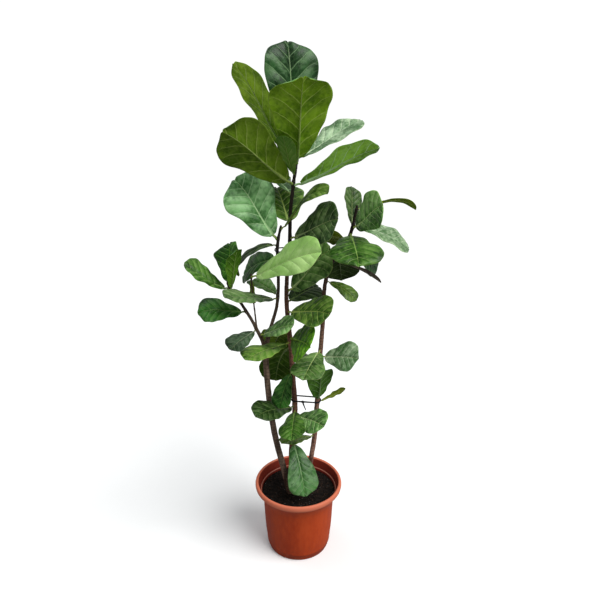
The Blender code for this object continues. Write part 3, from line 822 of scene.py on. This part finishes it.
def sweep(mesh, centres, radii, sides, across, skin):
    """A round rod: a circle extruded through all the centres, closed at both ends."""
    frames = []
    for i, centre in enumerate(centres):
        ahead = (centres[min(i + 1, len(centres) - 1)] - centres[max(i - 1, 0)]).normalized()
        across = (across - ahead * across.dot(ahead)).normalized()
        turn = Matrix((across, ahead.cross(across), ahead)).transposed().to_4x4()
        frames.append(Matrix.Translation(centre) @ turn @ Matrix.Diagonal((radii[i],) * 3 + (1,)))
    ring = bmesh.ops.create_circle(mesh, cap_ends=True, segments=sides, radius=1, matrix=frames[0])["verts"]
    faces = {f for v in ring for f in v.link_faces}
    edges = list({e for v in ring for e in v.link_edges})
    for before, after in zip(frames, frames[1:]):
        made = bmesh.ops.extrude_edge_only(mesh, edges=edges)["geom"]
        ring = [v for v in made if isinstance(v, bmesh.types.BMVert)]
        faces |= {f for f in made if isinstance(f, bmesh.types.BMFace)}
        edges = [e for e in made if isinstance(e, bmesh.types.BMEdge) and set(e.verts) <= set(ring)]
        bmesh.ops.transform(mesh, matrix=after @ before.inverted(), verts=ring)
    faces |= set(bmesh.ops.contextual_create(mesh, geom=edges)["faces"])
    for face in faces:
        face.material_index = skin


def stalk(mesh, leaf):
    """The stalk, from inside the bark to the blade, and the midrib under it."""
    middle, up, half = leaf["middle"], leaf["up"], leaf["half"]
    run = np.concatenate([[0], np.cumsum(np.linalg.norm(np.diff(middle, axis=0), axis=1))])
    start = run[2] / run[-1]
    where = np.concatenate([np.linspace(0, start, 7)[:-1], np.linspace(start, 0.95, 18)])
    spots = glide(run / run[-1], middle, where)
    sides = glide(run / run[-1], up, where)
    thick = half[1]
    radii = [thick * (1.25 - 0.25 * min(1, w / start * 3)) if w < start
             else 0.0006 + (thick - 0.0006) * (1 - (w - start) / (0.95 - start)) ** 1.3 for w in where]
    sunk = [min(1, max(0, w / start - 0.6) * 2) * (radius + 0.0009) for w, radius in zip(where, radii)]
    centres = [Vector(p) - Vector(n).normalized() * d for p, n, d in zip(spots, sides, sunk)]
    centres.insert(0, centres[0] + (centres[0] - centres[1]).normalized() * 0.003)
    radii.insert(0, radii[0] * 1.15)
    across = Vector(leaf["right"][0] - leaf["left"][0])
    sweep(mesh, centres, radii, 10, across, 2)


print("leaf builder ready")

# %% [markdown]
# ### Leaf finishes
# Above, a leaf is waxy: deep green that the overhead light turns bluish,
# with veins that show pale. Below, it has no wax, so it is duller and olive,
# and its veins stand out clearer; that olive is also made brighter, a painted
# glow of the light shining through the leaf. A tint stored on each leaf's
# points makes one leaf fresh green and its neighbour dark, with the same
# finish, and it also holds painted light and shade.


# %% Leaf face
def leaf_face(name, low, high, vein, share, rough, rise, coat, clear=0.26, pucker_highlight_share=0.34):
    """One face of a leaf: mottled green, pale veins, and their relief.

    Share is how clearly the veins show, rise how far they stand out, coat and
    clear how glossy the face is, and the last argument how strongly a highlight
    is painted on each pucker's far side.
    """
    made, tree, shader = finish(name, coat_weight=coat, coat_roughness=0.30)
    shader.inputs["Specular IOR Level"].default_value = clear
    spot = put(tree, "TexCoord").outputs["Object"]
    veins = put(tree, "Group", {"Vector": put(tree, "UVMap", uv_map="leaf_uv").outputs[0]},
                node_tree=VEINS).outputs
    green = put(tree, "Group", {"Vector": spot, "Scale": 12.0, "Low": rgb(*low), "High": rgb(*high)},
                node_tree=MOTTLE).outputs
    tint = put(tree, "Attribute", attribute_name="leaf_tint_and_painted_light").outputs["Color"]
    colour = dye(tree, 1.0, green["Colour"], tint, "MULTIPLY")
    pale = dye(tree, 0.6, rgb(*vein), dye(tree, 1.0, rgb(*vein), tint, "MULTIPLY"))
    # A painted highlight: the far side of every pucker is lightened towards the pale vein colour.
    painted_pucker_highlight = sums(tree, "MULTIPLY", veins["Slope"], fade(tree, green["Value"], 0.1, 1.0, 0.02, pucker_highlight_share))
    colour = dye(tree, painted_pucker_highlight, colour, pale)
    for part, much in (("Net", 0.10), ("Side veins", 0.62), ("Midrib", 1.25), ("Margin", 0.35)):
        colour = dye(tree, sums(tree, "MULTIPLY", veins[part], much * share), colour, pale)
    lines = sums(tree, "MAXIMUM", veins["Side veins"], veins["Midrib"])
    grain = put(tree, "TexNoise", {"Vector": spot, "Scale": 420.0, "Detail": 2.0}).outputs[0]
    relief = sums(tree, "ADD", sums(tree, "MULTIPLY", lines, rise),
                  sums(tree, "ADD", sums(tree, "MULTIPLY", veins["Net"], 0.25 * rise),
                       sums(tree, "MULTIPLY", grain, 0.12)))
    feed(tree, shader, colour, fade(tree, green["Value"], 0, 1, rough, rough + 0.10), relief, 0.0009, 0.8)
    return made


UPPER = leaf_face("leaf_upper", (0.009, 0.038, 0.004), (0.072, 0.185, 0.030), (0.330, 0.470, 0.180),
                  0.80, 0.30, -1.3, 0.10, 0.16)
# The sheen finish's pale bluish colours paint the overhead light's reflection on leaves that lie towards
# it.
SHEEN = leaf_face("leaf_sheen", (0.030, 0.105, 0.024), (0.260, 0.430, 0.235), (0.540, 0.700, 0.460),
                  0.72, 0.32, -1.3, 0.12, 0.20)
# The under face's olive is brighter than its own colour: a painted glow of light shining through the leaf.
UNDER = leaf_face("leaf_under", (0.052, 0.102, 0.0015), (0.160, 0.250, 0.0080), (0.420, 0.500, 0.110),
                  0.72, 0.60, 1.3, 0.0, 0.08, 0.08)
print("leaf faces ready")


# %% Stalks
def stalk_skin(name, low, high):
    """Smooth green skin with a faint grain along it."""
    made, tree, shader = finish(name, coat_weight=0.1)
    spot = put(tree, "TexCoord").outputs["Object"]
    mix = put(tree, "Group", {"Vector": spot, "Scale": 60.0, "Low": rgb(*low), "High": rgb(*high)},
              node_tree=MOTTLE).outputs
    tint = put(tree, "Attribute", attribute_name="leaf_tint_and_painted_light").outputs["Color"]
    colour = dye(tree, 0.5, mix["Colour"], tint, "MULTIPLY")
    feed(tree, shader, colour, fade(tree, mix["Value"], 0, 1, 0.42, 0.55), mix["Value"], 0.0004, 0.4)
    return made


STALK = stalk_skin("leaf_stalk", (0.150, 0.215, 0.030), (0.260, 0.330, 0.065))
DRY = crumbly("leaf_dry", (0.020, 0.016, 0.012), (0.085, 0.070, 0.055), 45.0, 0.75)
YOUNG = [
    leaf_face("young_upper", (0.190, 0.360, 0.080), (0.290, 0.470, 0.140), (0.450, 0.610, 0.260),
              0.60, 0.36, -0.8, 0.20),
    leaf_face("young_under", (0.160, 0.260, 0.070), (0.240, 0.340, 0.100), (0.400, 0.480, 0.200),
              0.70, 0.55, 0.8, 0.0, 0.3),
    STALK]
print("stalk, dry and young finishes ready")

# %% [markdown]
# No two leaves have quite the same green, but they fall into a few shades. A
# shade is a share of its finish's own red, green and blue, and it paints
# light and shade as well as each leaf's own green. Leaves deep in the crown
# are darkened, which is painted shade, and sunlit outer leaves and sunlit
# undersides are brightened, which is painted light. Leaves that lie towards
# the light take the sheen finish, whose pale bluish colours are a painted
# sheen.

# %% Shades
SHADES = {
    "night": ((0.20, 0.28, 0.16), "middle_04 middle_06 middle_12 left_04"),
    "blue night": ((0.24, 0.30, 1.70), "right_08"),
    "dusk": ((0.36, 0.55, 0.80), "middle_07 middle_23 right_10"),
    "deep": ((0.30, 0.75, 0.27), "middle_05 left_03 branch_03"),
    "leafy": ((0.65, 0.85, 0.37), "middle_03 branch_05 right_12"),
    "grassy": ((0.65, 1.30, 0.12), "branch_06"),
    "lime": ((1.35, 1.95, 0.12), "middle_08"),
    "slate": ((0.72, 0.60, 1.50), "branch_02"),
    "olive": ((0.78, 0.91, 1.10), "middle_10 middle_16 middle_18"),
    "cool olive": ((0.60, 0.93, 1.40), "branch_04"),
    "blue olive": ((0.64, 1.00, 3.30), "right_03"),
    "clear olive": ((1.10, 1.30, 1.30), "middle_22"),
    "plain": ((1.10, 0.95, 1.30), "middle_14 left_01 right_13"),
    "bronze": ((1.80, 0.80, 0.80), "right_07"),
    "warm": ((1.00, 0.93, 0.50), "left_06 right_01 right_06"),
    "fresh": ((1.80, 1.58, 1.80), "middle_13 right_02 right_05 right_11 right_16"),
    "warm fresh": ((1.45, 1.35, 0.82), "middle_09 middle_15 twig_01"),
    "bright": ((2.25, 2.10, 2.80), "left_02 branch_01"),
    "warm bright": ((2.30, 2.10, 1.25), "middle_11"),
    "sunlit": ((2.40, 2.55, 4.30), "middle_21"),
    "blue sunlit": ((2.30, 2.95, 8.80), "middle_17"),
    "pale": ((3.45, 3.15, 4.20), "middle_02 right_15"),
    "low bloom": ((0.20, 0.40, 0.15), "middle_01"),
    "soft bloom": ((0.77, 1.04, 0.67), "left_05"),
    "full bloom": ((1.38, 1.22, 1.27), "middle_20 right_04 right_14"),
    "pale young": ((1.57, 1.57, 1.62), "twig_02"),
    "olive young": ((0.37, 0.62, 0.12), "middle_19"),
}
# Leaves in the three sheen shades take the sheen finish, whose pale bluish colours paint a reflection.
TINTS_AND_PAINTED_LIGHT, SHEEN_PAINTED_LEAVES = {}, []
for shade, (share, wearers) in SHADES.items():
    names = [wearer.replace("_", "_leaf_") for wearer in wearers.split()]
    TINTS_AND_PAINTED_LIGHT.update({name: share for name in names})
    SHEEN_PAINTED_LEAVES += names if "bloom" in shade else []
print(f"{len(SHADES)} shades for {len(TINTS_AND_PAINTED_LIGHT)} leaves, {len(SHEEN_PAINTED_LEAVES)} of them bloomed")

# %% Grow every leaf
for number, (name, leaf) in enumerate(leaves.items()):
    dice = random.Random(100 + number)
    mesh = bmesh.new()
    blade(mesh, leaf, dice)
    stalk(mesh, leaf)
    bmesh.ops.recalc_face_normals(mesh, faces=mesh.faces)
    slot = {"twig_leaf_02": "leaf_young", "middle_leaf_19": "leaf_young",
            "right_leaf_09": "leaf_dry"}.get(name, "leaf_green")
    upper = SHEEN if name in SHEEN_PAINTED_LEAVES else UPPER
    skins = {"leaf_green": [upper, UNDER, STALK], "leaf_young": YOUNG, "leaf_dry": [DRY] * 3}[slot]
    grown = piece(name.replace("_leaf_", "_foliage_"), mesh, skins, slot, name)
    shade = dice.uniform(0.92, 1.08)
    # The stored tint holds the leaf's own green together with its painted light and shade.
    tint = [shade * share for share in TINTS_AND_PAINTED_LIGHT.get(name, (1, 1, 1))] + [1.0]
    layer = grown.data.attributes.new("leaf_tint_and_painted_light", "FLOAT_COLOR", "POINT")
    layer.data.foreach_set("color", tint * len(grown.data.vertices))
print(f"{len(leaves)} leaves grown")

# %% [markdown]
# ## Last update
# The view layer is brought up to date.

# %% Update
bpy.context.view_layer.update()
